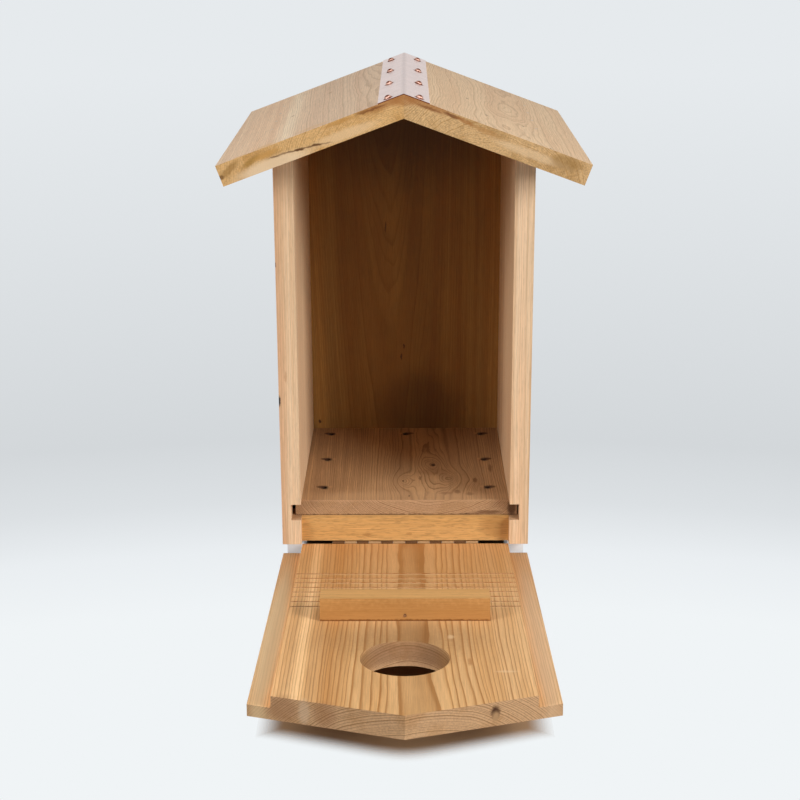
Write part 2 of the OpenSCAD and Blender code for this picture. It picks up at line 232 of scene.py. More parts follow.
@dataclass(frozen=True)
class Cedar:
    """Unfinished planed western red cedar, cut as one board from a log.

    Planing leaves a dull satin face. Dark late wood ends each yearly ring with a sharp line, and end
    grain soaks up light, so it looks browner and rougher.

    Attributes:
        name: the finish's name.
        pith: a point of the pith line in the part's frame.
        turn: Euler turn in degrees from the log's frame to the part's.
        early: colour of the pale early wood.
        late: colour of the dark ring lines.
        end: colour of end grain.
        end_late: colour of its ring lines.
        stain: colour of the cloudy patches on end grain.
        stain_share: how strongly these show.
        speckle: how dark the specks on end grain are.
        ring: mean width of a yearly ring.
        ring_share: how strongly the ring lines show.
        fleck: how strongly short dark dashes along the grain show.
        wander: how far the rings wander from true circles.
        wander_size: size of that wander across the grain.
        curl: share of small curls in that wander.
        ripple: height of the short waves on the ring lines.
        stretch: how much longer it is along the grain.
        tone: second colour of broad bands.
        tone_share: how strongly these show.
        streaks: bands along the grain.
        marks: spots.
        swirls: bulges of the rings.
        seed: moves the noise, so that no two boards match.
        roughness: mean roughness.
    """

    name: str
    pith: Point
    turn: Point
    early: str
    late: str
    end: str = "#BF9670"
    end_late: str = "#94693F"
    stain: str = "#A67C4C"
    stain_share: float = 0.3
    speckle: float = 0.18
    ring: float = 1.7
    ring_share: float = 0.8
    fleck: float = 0.04
    wander: float = 5.0
    wander_size: float = 60.0
    curl: float = 0.45
    ripple: float = 0.3
    stretch: float = 0.12
    tone: str = "#C98A55"
    tone_share: float = 0.35
    streaks: tuple[Streak, ...] = ()
    marks: tuple[Mark, ...] = ()
    swirls: tuple[Swirl, ...] = ()
    seed: float = 0.0
    roughness: float = 0.6

    def grain_axis(self) -> Vector:
        """Gives the direction of the grain in the part's frame."""
        x, y, z = (Matrix.Rotation(math.radians(a), 3, axis) for a, axis in zip(self.turn, "XYZ"))
        return z @ y @ x @ Vector((0, 0, 1))

    def material(self) -> bpy.types.Material:
        """Builds the wood.

        Returns:
            The finished material.
        """
        material, tree = new_material(self.name)
        board = tree.add("Mapping.TEXTURE", {
            "Vector": tree.place, "Location": Vector(self.pith) * MM,
            "Rotation": [math.radians(a) for a in self.turn]})
        rings, ring_count = self._rings(tree, board)
        colour = self._face_colour(tree, board, rings, ring_count)
        colour, fibre = self._fibres(tree, board, colour)
        colour = self._streaks(tree, board, colour)
        colour, end_share = self._end_grain(tree, board, colour, rings)
        colour = self._marks(tree, colour)
        height = tree.add("Math.MULTIPLY_ADD", rings, 0.4, fibre)
        # The late wood and the fibres stand about a twentieth of a millimetre proud after planing
        bump = tree.add("Bump", {"Strength": 0.35, "Distance": 0.12 * MM, "Height": height})
        rough = tree.add("MapRange", {"Value": end_share, "To Min": self.roughness, "To Max": 0.85})
        shader = tree.add("BsdfPrincipled", {
            "Base Color": colour, "Roughness": rough, "IOR": 1.5, "Specular IOR Level": 0.35, "Normal": bump})
        tree.add("OutputMaterial", {"Surface": shader})
        return material

    def _rings(self, tree: Tree, board: Socket) -> tuple[Socket, Socket]:
        """Draws the yearly rings.

        Args:
            tree: the material's tree.
            board: the point in the log's frame.

        Returns:
            The strength of the late wood, and the number of the ring.
        """
        shift = (self.seed, self.seed * 0.7, self.seed * 0.3)
        squeezed = tree.add("VectorMath.MULTIPLY_ADD", board, (1, 1, self.stretch), shift)
        moved = board
        # A slow wander over the whole board, then short waves about 11 mm wide and 45 mm long
        for size, far, where in (
            (self.wander_size, self.wander, squeezed),
            (11.0, self.ripple, tree.add("VectorMath.MULTIPLY", squeezed, (1, 1, 0.25 / self.stretch))),
        ):
            wobble = tree.add("TexNoise", {
                "Vector": where, "Scale": 1 / (size * MM), "Detail": 3.0,
                "Roughness": self.curl}, out="Color")
            centred = tree.add("VectorMath.SUBTRACT", wobble, (0.5, 0.5, 0.5))
            moved = tree.add("VectorMath.MULTIPLY_ADD", centred, (2 * far * MM, 2 * far * MM, 0), moved)
        flat = tree.add("VectorMath.MULTIPLY", moved, (1, 1, 0))
        radius = tree.add("VectorMath.LENGTH", flat)
        for swirl in self.swirls:
            away = self._within(tree, tree.place, swirl.at, swirl.radii)
            bell = tree.add("Math.MULTIPLY", away, away)
            radius = tree.add("Math.MULTIPLY_ADD", bell, swirl.push * MM, radius)
        years = tree.add("Math.MULTIPLY", radius, 1 / (self.ring * MM))
        # Wet and dry spells of a few years each make the rings wider and narrower
        spell = tree.add("TexNoise.1D", {"W": years, "Scale": 0.23, "Detail": 1.0})
        years = tree.add("Math.MULTIPLY_ADD", spell, 2.6, years)
        count = tree.add("Math.FLOOR", years)
        season = tree.add("Math.FRACT", years)
        ramp = tree.add("ValToRGB", season)
        set_stops(ramp, ((0.0, 0.3), (0.06, 0.0), (0.5, 0.05), (0.74, 0.3), (0.88, 1.0), (0.98, 1.0)))
        weight = tree.add("TexWhiteNoise.1D", {"W": count})
        uneven = tree.add("MapRange", {"Value": weight, "To Min": 0.6, "To Max": 1.0})
        rings = tree.add("Math.MULTIPLY", ramp, uneven)
        return rings, count

    def _face_colour(self, tree: Tree, board: Socket, rings: Socket, ring_count: Socket) -> Socket:
        """Mixes early wood, broad bands and late wood.

        Args:
            tree: the material's tree.
            board: the point in the log's frame.
            rings: strength of the late wood.
            ring_count: the number of the ring.

        Returns:
            The colour of the face grain.
        """
        band = tree.add("TexNoise.1D", {"W": ring_count, "Scale": 0.31, "Detail": 2.0})
        long_way = tree.add("VectorMath.MULTIPLY_ADD", board, (1, 1, 0.08), (self.seed, 0, 0))
        cloud = tree.add("TexNoise", {"Vector": long_way, "Scale": 1 / (22 * MM), "Detail": 3.0})
        both = tree.add("Math.ADD", band, cloud)
        share = tree.add("MapRange.SMOOTHSTEP", {
            "Value": both, "From Min": 0.75, "From Max": 1.3, "To Max": self.tone_share})
        ground = tree.add("Mix.RGBA", share, linear(self.early), linear(self.tone))
        strength = tree.add("Math.MULTIPLY", rings, self.ring_share)
        return tree.add("Mix.RGBA", strength, ground, linear(self.late))

    def _fibres(self, tree: Tree, board: Socket, colour: Socket) -> tuple[Socket, Socket]:
        """Adds the fine fibres along the grain.

        Args:
            tree: the material's tree.
            board: the point in the log's frame.
            colour: the colour so far.

        Returns:
            The new colour, and the fibres' height.
        """
        # Real fibres are 0.03 mm wide, too fine to show, so bundles of 0.8 mm are drawn
        fine_way = tree.add("VectorMath.MULTIPLY", board, (1, 1, 0.03))
        fibre = tree.add("TexNoise", {"Vector": fine_way, "Scale": 1 / (0.8 * MM), "Detail": 2.0})
        light = tree.add("MapRange", {
            "Value": fibre, "From Min": 0.25, "From Max": 0.75, "To Min": 0.86, "To Max": 1.12})
        # Resin cells are hair-thin; here they are dashes about 0.9 mm wide and 7 mm long
        dash_way = tree.add("VectorMath.MULTIPLY", board, (1, 1, 0.12))
        dash = tree.add("TexNoise", {"Vector": dash_way, "Scale": 1 / (0.9 * MM), "Detail": 1.0})
        dark = tree.add("MapRange", {
            "Value": dash, "From Min": 0.52, "From Max": 0.68, "To Min": 1.0, "To Max": 1 - 2 * self.fleck})
        light = tree.add("Math.MULTIPLY", light, dark)
        return tree.add("VectorMath.SCALE", colour, light), fibre

    def _streaks(self, tree: Tree, board: Socket, colour: Socket) -> Socket:
        """Lays the bands of other colour along the grain.

        Args:
            tree: the material's tree.
            board: the point in the log's frame.
            colour: the colour so far.

        Returns:
            The new colour.
        """
        if not self.streaks:
            return colour
        ragged_way = tree.add("VectorMath.MULTIPLY", board, (1, 1, 0.1))
        ragged = tree.add("TexNoise", {"Vector": ragged_way, "Scale": 1 / (9 * MM), "Detail": 3.0})
        across = tree.add("SeparateXYZ", board, out="X")
        across = tree.add("Math.MULTIPLY_ADD", ragged, 9 * MM, across)
        for streak in self.streaks:
            off = tree.add("Math.SUBTRACT", across, (streak.at + 4.5) * MM)
            far = tree.add("Math.ABSOLUTE", off)
            share = tree.add("MapRange.SMOOTHSTEP", {
                "Value": far, "From Min": streak.width * MM, "From Max": 0.0, "To Max": streak.share})
            tint = tree.add("Mix.RGBA", share, linear(NEUTRAL), linear(streak.colour))
            colour = tree.add("VectorMath.MULTIPLY", colour, tint)
            colour = tree.add("VectorMath.SCALE", colour, 1 / linear(NEUTRAL)[0])
        return colour

    def _end_grain(self, tree: Tree, board: Socket, colour: Socket, rings: Socket) -> tuple[Socket, Socket]:
        """Greys the faces that cut across the fibres.

        Args:
            tree: the material's tree.
            board: the point in the log's frame.
            colour: the colour so far.
            rings: strength of the late wood.

        Returns:
            The new colour, and how far the face is end grain.
        """
        along = tree.add("VectorMath.DOT_PRODUCT", tree.normal, self.grain_axis())
        along = tree.add("Math.ABSOLUTE", along)
        share = tree.add("MapRange.SMOOTHSTEP", {"Value": along, "From Min": 0.35, "From Max": 0.9})
        # Open pores and saw marks show as specks about 1.2 mm apart
        pores = tree.add("TexNoise", {
            "Vector": board, "Scale": 1 / (1.6 * MM), "Detail": 2.0, "Roughness": 0.7})
        speck = tree.add("MapRange", {
            "Value": pores, "From Min": 0.3, "From Max": 0.62, "To Min": 1 - self.speckle, "To Max": 1.04})
        patch = tree.add("TexNoise", {"Vector": board, "Scale": 1 / (18 * MM), "Detail": 3.0})
        stained = tree.add("MapRange.SMOOTHSTEP", {
            "Value": patch, "From Min": 0.45, "From Max": 0.68, "To Max": self.stain_share})
        cut = tree.add("Mix.RGBA", stained, linear(self.end), linear(self.stain))
        lines = tree.add("Math.MULTIPLY", rings, 0.95)
        cut = tree.add("Mix.RGBA", lines, cut, linear(self.end_late))
        cut = tree.add("VectorMath.SCALE", cut, speck)
        return tree.add("Mix.RGBA", share, colour, cut), share

    def _marks(self, tree: Tree, colour: Socket) -> Socket:
        """Puts the small spots in, with ragged edges.

        Args:
            tree: the material's tree.
            colour: the colour so far.

        Returns:
            The new colour.
        """
        if not self.marks:
            return colour
        ragged = tree.add("TexNoise", {
            "Vector": tree.place, "Scale": 1 / (3.5 * MM), "Detail": 2.0}, out="Color")
        ragged = tree.add("VectorMath.SUBTRACT", ragged, (0.5, 0.5, 0.5))
        place = tree.add("VectorMath.MULTIPLY_ADD", ragged, (2.4 * MM, 2.4 * MM, 2.4 * MM), tree.place)
        for mark in self.marks:
            inside = self._within(tree, place, mark.at, mark.radii, mark.tilt)
            share = tree.add("MapRange.SMOOTHSTEP", {"Value": inside, "From Max": 0.6, "To Max": mark.share})
            colour = tree.add("Mix.RGBA", share, colour, linear(mark.colour))
        return colour

    @staticmethod
    def _within(tree: Tree, place: Socket, at: Point, radii: Point, tilt: float = 0.0) -> Socket:
        """Measures how deep a point lies in an ellipsoid.

        Args:
            tree: the material's tree.
            place: the point in the part's frame.
            at: the ellipsoid's middle.
            radii: its half sizes.
            tilt: its turn about the part's Y axis in degrees.

        Returns:
            1 at the middle, 0 at the skin and outside.
        """
        inside = tree.add("Mapping.TEXTURE", {
            "Vector": place, "Location": Vector(at) * MM, "Rotation": (0, math.radians(tilt), 0),
            "Scale": Vector(radii) * MM})
        far = tree.add("VectorMath.LENGTH", inside)
        return tree.add("Math.SUBTRACT", 1.0, far, use_clamp=True)


@dataclass(frozen=True)
class RolledMetal:
    """Sheet or wire metal, rolled or drawn, with a fine lengthwise brush.

    The brush draws highlights out into soft bands, sheared edges are browner, and a brown ring round each
    nail hole is partly oxide, partly painted contact shadow.

    Attributes:
        name: the finish's name.
        colour: the metal's own colour.
        edge: colour of faces that look along the roll, such as a sheared edge.
        roughness: mean roughness.
        streak: spacing of the brush marks.
        roll: direction of rolling in the part's frame.
        edge_start: how squarely a face must look along the roll to show the edge colour.
        crease: half width of the duller line along a bend in the plane X = 0, or 0 for none.
        heads: where nail heads sit on the sheet, each with a brown ring round it, partly oxide and partly
            painted contact shadow.
    """

    name: str
    colour: str
    edge: str
    roughness: float
    streak: float = 0.9
    roll: Point = (0.0, 1.0, 0.0)
    edge_start: float = 0.8
    crease: float = 0.0
    heads: tuple[Point, ...] = ()

    def material(self) -> bpy.types.Material:
        """Builds the metal.

        Returns:
            The finished material.
        """
        material, tree = new_material(self.name)
        squeeze = [0.04 if part else 1.0 for part in self.roll]
        way = tree.add("VectorMath.MULTIPLY", tree.place, squeeze)
        brush = tree.add("TexNoise", {"Vector": way, "Scale": 1 / (self.streak * MM), "Detail": 3.0})
        cloud = tree.add("TexNoise", {"Vector": tree.place, "Scale": 1 / (14 * MM), "Detail": 3.0})
        facing = tree.add("VectorMath.DOT_PRODUCT", tree.normal, self.roll)
        facing = tree.add("Math.ABSOLUTE", facing)
        sheared = tree.add("MapRange", {"Value": facing, "From Min": self.edge_start, "From Max": 0.98})
        shade = tree.add("MapRange", {
            "Value": cloud, "From Min": 0.3, "From Max": 0.7, "To Min": 0.93, "To Max": 1.03})
        colour = tree.add("Mix.RGBA", sheared, linear(self.colour), linear(self.edge))
        colour = tree.add("VectorMath.SCALE", colour, shade)
        # Handling leaves dull specks about a millimetre across
        specks = tree.add("TexNoise", {"Vector": tree.place, "Scale": 1 / (1.4 * MM), "Detail": 2.0})
        dull = tree.add("MapRange", {
            "Value": specks, "From Min": 0.35, "From Max": 0.62, "To Min": 0.9, "To Max": 1.0})
        colour = tree.add("VectorMath.SCALE", colour, dull)
        if self.crease:
            across = tree.add("SeparateXYZ", tree.place, out="X")
            across = tree.add("Math.ABSOLUTE", across)
            bent = tree.add("MapRange.SMOOTHSTEP", {
                "Value": across, "From Min": self.crease * MM, "From Max": 0.0,
                "To Min": 1.0, "To Max": 0.84})
            colour = tree.add("VectorMath.SCALE", colour, bent)
        for head in self.heads:
            off = tree.add("VectorMath.DISTANCE", tree.place, Vector(head) * MM)
            # The heads are 7.2 mm across. The brown ring, partly oxide and partly painted contact shadow, is
            # about half a millimetre wide, drawn as 1.2 mm
            ring = tree.add("MapRange", {
                "Value": off, "From Min": 5.2 * MM, "From Max": 4.4 * MM, "To Max": 0.9})
            colour = tree.add("Mix.RGBA", ring, colour, linear(self.edge))
        rough = tree.add("MapRange", {
            "Value": brush, "From Min": 0.3, "From Max": 0.7,
            "To Min": self.roughness - 0.06, "To Max": self.roughness + 0.08})
        bump = tree.add("Bump", {"Strength": 0.2, "Distance": 0.03 * MM, "Height": brush})
        shader = tree.add("BsdfPrincipled", {
            "Base Color": colour, "Metallic": 1.0, "Roughness": rough, "Normal": bump})
        tree.add("OutputMaterial", {"Surface": shader})
        return material


@dataclass(frozen=True)
class DomedCopper:
    """Copper nail heads, struck with a hammer and left to brown.

    The rim and the top are dull brown and the shoulder between them bright, so a head shows as a brown ring
    with a bright inside. The rim's brown is partly oxide and partly painted shade of the dome's dark outline;
    the dull brown top is painted shade that holds back the lamps' highlight.

    Attributes:
        name: the finish's name.
        bright: colour of the shoulder.
        brown: colour of the rim and the top, partly oxide, partly painted shade.
        axis: the way the head faces.
    """

    name: str
    bright: str
    brown: str
    axis: Point

    def material(self) -> bpy.types.Material:
        """Builds the copper.

        Returns:
            The finished material.
        """
        material, tree = new_material(self.name)
        dents = tree.add("TexNoise", {"Vector": tree.place, "Scale": 1 / (2.2 * MM), "Detail": 2.0})
        rise = tree.add("VectorMath.DOT_PRODUCT", tree.normal, self.axis)
        rise = tree.add("Math.MULTIPLY_ADD", dents, 0.5, rise)
        rise = tree.add("Math.MULTIPLY", rise, 0.7)
        ramp = tree.add("ValToRGB", rise)
        # From the rim over the shoulder to the top, pushed about by the dents
        set_stops(ramp, ((0.46, 0.0), (0.53, 1.0), (0.64, 1.0), (0.72, 0.0)))
        colour = tree.add("Mix.RGBA", ramp, linear(self.brown), linear(self.bright))
        rough = tree.add("MapRange", {"Value": ramp, "To Min": 0.7, "To Max": 0.5})
        bump = tree.add("Bump", {"Strength": 0.4, "Distance": 0.2 * MM, "Height": dents})
        shader = tree.add("BsdfPrincipled", {
            "Base Color": colour, "Metallic": ramp, "Roughness": rough, "Specular IOR Level": 0.05,
            "Normal": bump})
        tree.add("OutputMaterial", {"Surface": shader})
        return material


def marks_at(spot: Callable[[float, float], Point], *rows: tuple) -> tuple[Mark, ...]:
    """Turns rows of two numbers for the spot, half sizes, colour, share and tilt into marks."""
    return tuple(Mark(spot(a, b), radii, *look) for a, b, radii, *look in rows)


@dataclass
class Box:
    """The fixed box: two sides, back, floor and front rail.

    Attributes:
        nodes: the part's nodes by name.
        half_in: half the clear width.
        side_depth: depth of the side boards.
        floor_top: height of the floor's top face.
        back_face: place of the back board's inner face.
        side_thick: thickness of a side board.
        floor_inset: distance of the floor's front edge behind the sides' front edges.
        rail_inset: distance of the rail's front face behind the sides' front edges.
        drain_rows: places of the rows of drain holes.
    """

    nodes: dict[str, bpy.types.Object]
    half_in: float
    side_depth: float
    floor_top: float
    back_face: float
    side_thick: float = 18.5
    floor_inset: float = 14.0
    rail_inset: float = 9.5
    drain_rows: Point = (-39.5, -122.5, -205.5)

    @classmethod
    def measured(cls, nodes: dict[str, bpy.types.Object]) -> Box:
        """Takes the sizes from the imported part.

        Args:
            nodes: the part's nodes by name.

        Returns:
            The box with its sizes.
        """
        back_low, back_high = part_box("back_panel")
        side_low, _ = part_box("left_side")
        _, floor_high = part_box("floor_panel")
        return cls(nodes, back_high.x / MM, -side_low.y / MM, floor_high.z / MM, back_low.y / MM)

    def dress(self) -> None:
        """Gives each board its wood."""
        self._sides()
        self._back()
        self._floor()
        self._rail()

    def _sides(self) -> None:
        """Dresses the sides in pale sapwood, whose rings show only faintly, with a pinkish outer face."""
        knots = marks_at(
            lambda inset, z: (inset - self.half_in - self.side_thick, -self.side_depth, z),
            (0, 148, (2.2, 4, 7.5), "#1E120A"), (0, 281, (1.5, 3, 3), "#7A5232", 0.8),
            (7, 172, (1.6, 3, 8), "#B98560", 0.5))
        left = (Streak(77.0, 8.0, "#B4AAA6", 1.0), Streak(88.0, 5.0, "#C4C6C8", 0.8))
        right = (Streak(-76.5, 2.6, "#AEA69E", 0.9), Streak(-88.0, 7.0, "#C6C8CC", 0.8))
        for name, hand, seed, streaks, marks in (
            ("left_side", -1, 1.3, left, knots), ("right_side", 1, 4.1, right, ()),
        ):
            wood = Cedar(
                name=f"cedar_{name}", pith=(hand * (self.half_in + 95), hand * 30 - self.side_depth / 2, 0),
                turn=GrainWay.UPRIGHT.value, early="#EBCBA6", late="#C08E5E", end="#C9A27C",
                ring=1.35, ring_share=0.45, wander=6, wander_size=70, tone="#DDB083", tone_share=0.5,
                seed=seed, roughness=0.55, streaks=streaks, marks=marks)
            dress(self.nodes[name], wood.material())

    def _back(self) -> None:
        """Dresses the back in brown heartwood, sawn so that the rings draw tall arches."""
        back = Cedar(
            name="cedar_back", pith=(-16, 62, 200), turn=(1.7, -1.0, 0), early="#A98145", late="#77501F",
            end="#A98558", ring=1.4, ring_share=0.4, wander=4, wander_size=60, tone="#8F6230",
            tone_share=0.7, seed=2.2,
            streaks=(Streak(-80, 15, "#D2CDC6", 1.0), Streak(112, 17, "#CECAC4", 1.0),
                     Streak(34, 36, "#ABA8A2", 0.9)),
            marks=marks_at(
                lambda x, z: (x, self.back_face, z),
                (-20.7, 268, (1.0, 2, 9), "#3A2010", 0.8), (-1.2, 136, (1.2, 2, 4), "#3A2010", 0.8),
                (-4.1, 124, (1.4, 2, 5), "#3A2010", 0.8), (-95, 49, (2, 2, 2.5), "#3A2010", 0.9),
                (16, 62, (60, 3, 60), "#4A2810", 0.5),
                # Painted shade: the top of the back board, under the roof, is darkened
                (0, 430, (170, 3, 150), "#3A1E08", 0.72)))
        dress(self.nodes["back_panel"], back.material())

    def _floor(self) -> None:
        """Dresses the floor in greyed cedar, flat-sawn through hidden branches that swirl the rings."""
        top = self.floor_top
        floor = Cedar(
            name="cedar_floor", pith=(24, 0, top + 78), turn=(-90.0, 0.0, 0.4), early="#BE9468",
            late="#6E4B2C", end="#BE9770", end_late="#80593A", ring=1.35, ring_share=0.75, wander=4,
            wander_size=40, curl=0.55, ripple=0.7, tone="#A17B57", tone_share=0.7, seed=6.3, roughness=0.65,
            swirls=(
                Swirl((-2, -187, top), (20, 46, 30), -8), Swirl((46, -180, top), (34, 54, 30), -9),
                Swirl((29, -138, top), (26, 44, 30), -6), Swirl((72, -186, top), (13, 30, 30), -4)),
            marks=marks_at(
                lambda x, y: (x, y, top),
                (-2, -187, (1.6, 3, 3), "#4A2C18", 0.9), (29, -140, (3.0, 5.5, 3), "#2E1A0C", 0.95),
                (4, -229, (1.6, 3.4, 3), "#3A2010", 0.9), (71, -185, (3, 10, 3), "#5E3A20", 0.75),
                (15, -179, (1.8, 8, 3), "#6A4226", 0.6), (88, -150, (3, 16, 3), "#5E3A20", 0.6),
                (40, -222, (9, 5, 3), "#6A4226", 0.55), (52, -218, (4, 7, 3), "#5E3A20", 0.6),
                (64, -224, (5, 6, 3), "#5E3A20", 0.6), (30, -160, (22, 14, 3), "#8E6440", 0.35),
                # Painted light: a pale band along the floor's front edge, where light comes in through the
                # opening
                (0, -236, (240, 26, 3), "#D8AC80", 0.22),
            ) + marks_at(
                lambda x, down: (x, self.floor_inset - self.side_depth, top - down),
                (105, 8, (6, 5, 12), "#4A2A14", 0.8), (82, 13, (18, 5, 2.6), "#5E3A20", 0.7),
                (66, 15, (12, 5, 2.0), "#5E3A20", 0.5), (0, 16, (280, 5, 1.5), "#3E2412", 0.85),
            ) + self._drain_hole_shade_and_burrs())
        dress(self.nodes["floor_panel"], floor.material())

    def _rail(self) -> None:
        """Dresses the rail in golden cedar, with short dark dashes where the saw crossed the grain."""
        rail = Cedar(
            name="cedar_rail", pith=(0, -self.side_depth / 2, -190), turn=GrainWay.ACROSS.value,
            early="#DBAC6E", late="#B07C3E", ring=1.1, ring_share=0.35, fleck=0.13, wander=3,
            wander_size=24, curl=0.6, ripple=0.8, stretch=0.3, tone="#C99450", tone_share=0.45, seed=8.8,
            roughness=0.5,
            marks=marks_at(
                lambda x, z: (x, self.rail_inset - self.side_depth, z),
                (90, 16, (22, 3, 18), "#9A6A34", 0.5), (-38, 6, (6, 3, 2.4), "#8A5A2A", 0.5),
                (4, 7, (4, 3, 2), "#8A5A2A", 0.4)))
        dress(self.nodes["front_rail"], rail.material())

    def _drain_hole_shade_and_burrs(self) -> tuple[Mark, ...]:
        """Gives the drain holes, painted near black inside as painted shade, and the burrs that the drill
        left beside them.

        Returns:
            The marks.
        """
        holes = [(x, y, hand) for x, hand in ((-81, -1), (83, 1)) for y in self.drain_rows]
        hole_marks = []
        for x, y, hand in (*holes, (1, self.drain_rows[0], 1)):
            hole_marks += [
                # Painted shade: the inside of each drain hole is painted near black
                Mark((x, y, self.floor_top - 3), (6.2, 7.4, 9.0), "#22120A", 0.97),
                Mark((x + hand * 4.0, y + 2.0, self.floor_top), (5.4, 4.6, 3.0), "#44220E", 0.85),
                Mark((x - hand * 6.0, y + 2.0, self.floor_top), (2.4, 4.0, 3.0), "#C8986A", 0.5)]
        return tuple(hole_marks)


@dataclass
class Roof:
    """The two mitred roof boards with the copper strip and its nails.

    Attributes:
        nodes: the part's nodes by name.
        pitch: slope of the boards in degrees.
        ridge: height of the ridge.
        front: place of the roof's front end.
        head_rise: distance from a nail head's lowest point up to its middle, along the slope.
    """

    nodes: dict[str, bpy.types.Object]
    pitch: float
    ridge: float
    front: float
    head_rise: float = 3.6

    @classmethod
    def measured(cls, nodes: dict[str, bpy.types.Object]) -> Roof:
        """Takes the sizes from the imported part.

        Args:
            nodes: the part's nodes by name.

        Returns:
            The roof with its sizes.
        """
        low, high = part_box("roof_right")
        # The upper face runs from the ridge to the eave's highest, outermost corner
        corner = max((v.co for v in nodes["roof_right"].data.vertices), key=lambda co: co.x)
        return cls(nodes, math.degrees(math.atan2(high.z - corner.z, corner.x)), high.z / MM, low.y / MM)

    def spot(self, hand: float, slope: float, y: float, depth: float = 0.0) -> Point:
        """Gives a point some way down the left (-1) or right (1) board's slope and under its top face."""
        lean, up = math.sin(math.radians(self.pitch)), math.cos(math.radians(self.pitch))
        return (hand * (slope * up - depth * lean), y, self.ridge - slope * lean - depth * up)

    def nail_spots(self) -> tuple[Point, ...]:
        """Finds where each ridge nail's head sits on the strip.

        Returns:
            The middles of the heads' lower rims.
        """
        spots = []
        angle = math.radians(self.pitch)
        for name, hand in (("ridge_nails_left", -1), ("ridge_nails_right", 1)):
            places = sorted((v.co / MM for v in self.nodes[name].data.vertices), key=lambda co: co.y)
            heads = [[places[0]]]
            for place in places[1:]:
                # The heads lie about 100 mm apart and are 7 mm wide
                if place.y - heads[-1][-1].y > 20:
                    heads.append([])
                heads[-1].append(place)
            for head in heads:
                slope = max(
                    abs(co.x) * math.cos(angle) - (co.z - self.ridge) * math.sin(angle) for co in head)
                spots.append(self.spot(hand, slope - self.head_rise, (head[0].y + head[-1].y) / 2))
        return tuple(spots)

    def dress(self) -> None:
        """Gives the boards, the strip and the nails their finishes."""
        middle = self.front / 2
        # Flat-sawn boards greyed a little by weather: broad soft figure on top, coarse end grain in front
        left = Cedar(
            name="cedar_roof_left", pith=self.spot(-1, 20, middle, 70), turn=(-90.0, -self.pitch, 1.5),
            early="#DBBB99", late="#9A724A", end="#D8AD74", end_late="#B88A50", stain="#B3823F",
            stain_share=0.6, speckle=0.28, ring=1.5, ring_share=0.5, fleck=0.05, wander=6, wander_size=62,
            curl=0.4, ripple=0.45, stretch=0.24, tone="#CAA27E", tone_share=0.6, seed=3.7, roughness=0.55,
            streaks=(Streak(-118, 66, "#CAC8C5", 1.0), Streak(-93, 13, "#C8D4DC", 1.0)),
            marks=self._left_marks())
        right = Cedar(
            name="cedar_roof_right", pith=self.spot(1, 105, middle, 70), turn=(-90.0, self.pitch, -1.0),
            early="#D8B78F", late="#93693F", end="#D2AC7A", end_late="#AC8048", stain="#A8804A",
            stain_share=0.6, speckle=0.34, ring=1.45, ring_share=0.5, fleck=0.05, wander=7,
            wander_size=50, curl=0.5, ripple=0.7, stretch=0.3, tone="#C79F76", tone_share=0.6, seed=9.4,
            roughness=0.55, marks=self._right_marks())
        for name, wood in (("roof_left", left), ("roof_right", right)):
            dress(self.nodes[name], wood.material())
        # New copper sheet, pale pink and bright, with brown sheared edges
        strip = RolledMetal(
            "rolled_copper_strip", "#EBD4CC", "#7A3C22", 0.38, crease=3.4, heads=self.nail_spots())
        dress(self.nodes["ridge_strip"], strip.material())
        lean, up = math.sin(math.radians(self.pitch)), math.cos(math.radians(self.pitch))
        for name, hand in (("ridge_nails_left", -1), ("ridge_nails_right", 1)):
            nails = DomedCopper(f"copper_{name}", "#C8A090", "#6A3A28", (hand * lean, 0.0, up))
            dress(self.nodes[name], nails.material())

    def _left_marks(self) -> tuple[Mark, ...]:
        """Gives the left board's marks: the stains, the crack and the strip's painted shadow on its front
        end, and two specks.

        Returns:
            The marks.
        """
        slope = -self.pitch
        end = marks_at(
            lambda x, z: (x, self.front, z),
            (-17, 442.4, (30, 4, 7.0), "#9C6532", 0.72, slope), (0, 444.5, (16, 4, 6.6), "#9C632F", 0.6),
            # Painted shadow: the thin dark line right under the copper strip
            (-12, 447.4, (24, 4, 1.6), "#5E3418", 0.8, slope),
            (-25, 437.6, (14, 4, 1.4), "#6E3C18", 0.7, slope),
            (-35, 434.4, (7, 4, 1.8), "#7A4C22", 0.7, slope),
            (-56, 426.0, (20, 4, 2.4), "#B4813F", 0.6, slope), (-50, 416, (40, 4, 6), "#DDBB90", 0.6, slope),
            (-112, 390, (46, 4, 9), "#E2C6A2", 0.8, slope), (-150, 386, (15, 4, 4.0), "#8A6228", 0.6, -46),
            (-131, 393, (12, 4, 3.6), "#96702F", 0.6, -38), (-118, 399, (16, 4, 3), "#C08E4A", 0.6, -24),
            (-157, 379, (3, 4, 2.4), "#5E3C18", 0.7),
            # The crack, in seven leaning pieces
            (-112, 396.4, (6, 5, 1), "#54300F", 0.6, -16), (-105.5, 398.6, (8, 5, 1.2), "#54300F", 0.55, -20),
            (-96.2, 401.2, (9, 5, 1.2), "#54300F", 0.7, -13), (-89.5, 403, (6, 5, 1.8), "#54300F", 0.95, -16),
            (-82, 405.2, (7, 5, 1.1), "#54300F", 0.7, -18), (-74.5, 407, (6.5, 5, 1.6), "#54300F", 0.9, -9),
            (-66, 408.6, (6, 5, 0.9), "#54300F", 0.5, -10))
        return end + marks_at(
            lambda down, back: self.spot(-1, down, self.front + back),
            (128, 8, (15, 9, 9), "#D6A96E", 0.75), (150, 4, (10, 5, 8), "#CFA062", 0.6),
            (84, 12, (26, 13, 12), "#CFA474", 0.6), (78, -110 - self.front, (2.2, 9, 2), "#A67C52", 0.6),
            (112, -190 - self.front, (2, 6, 2), "#9A7048", 0.6))

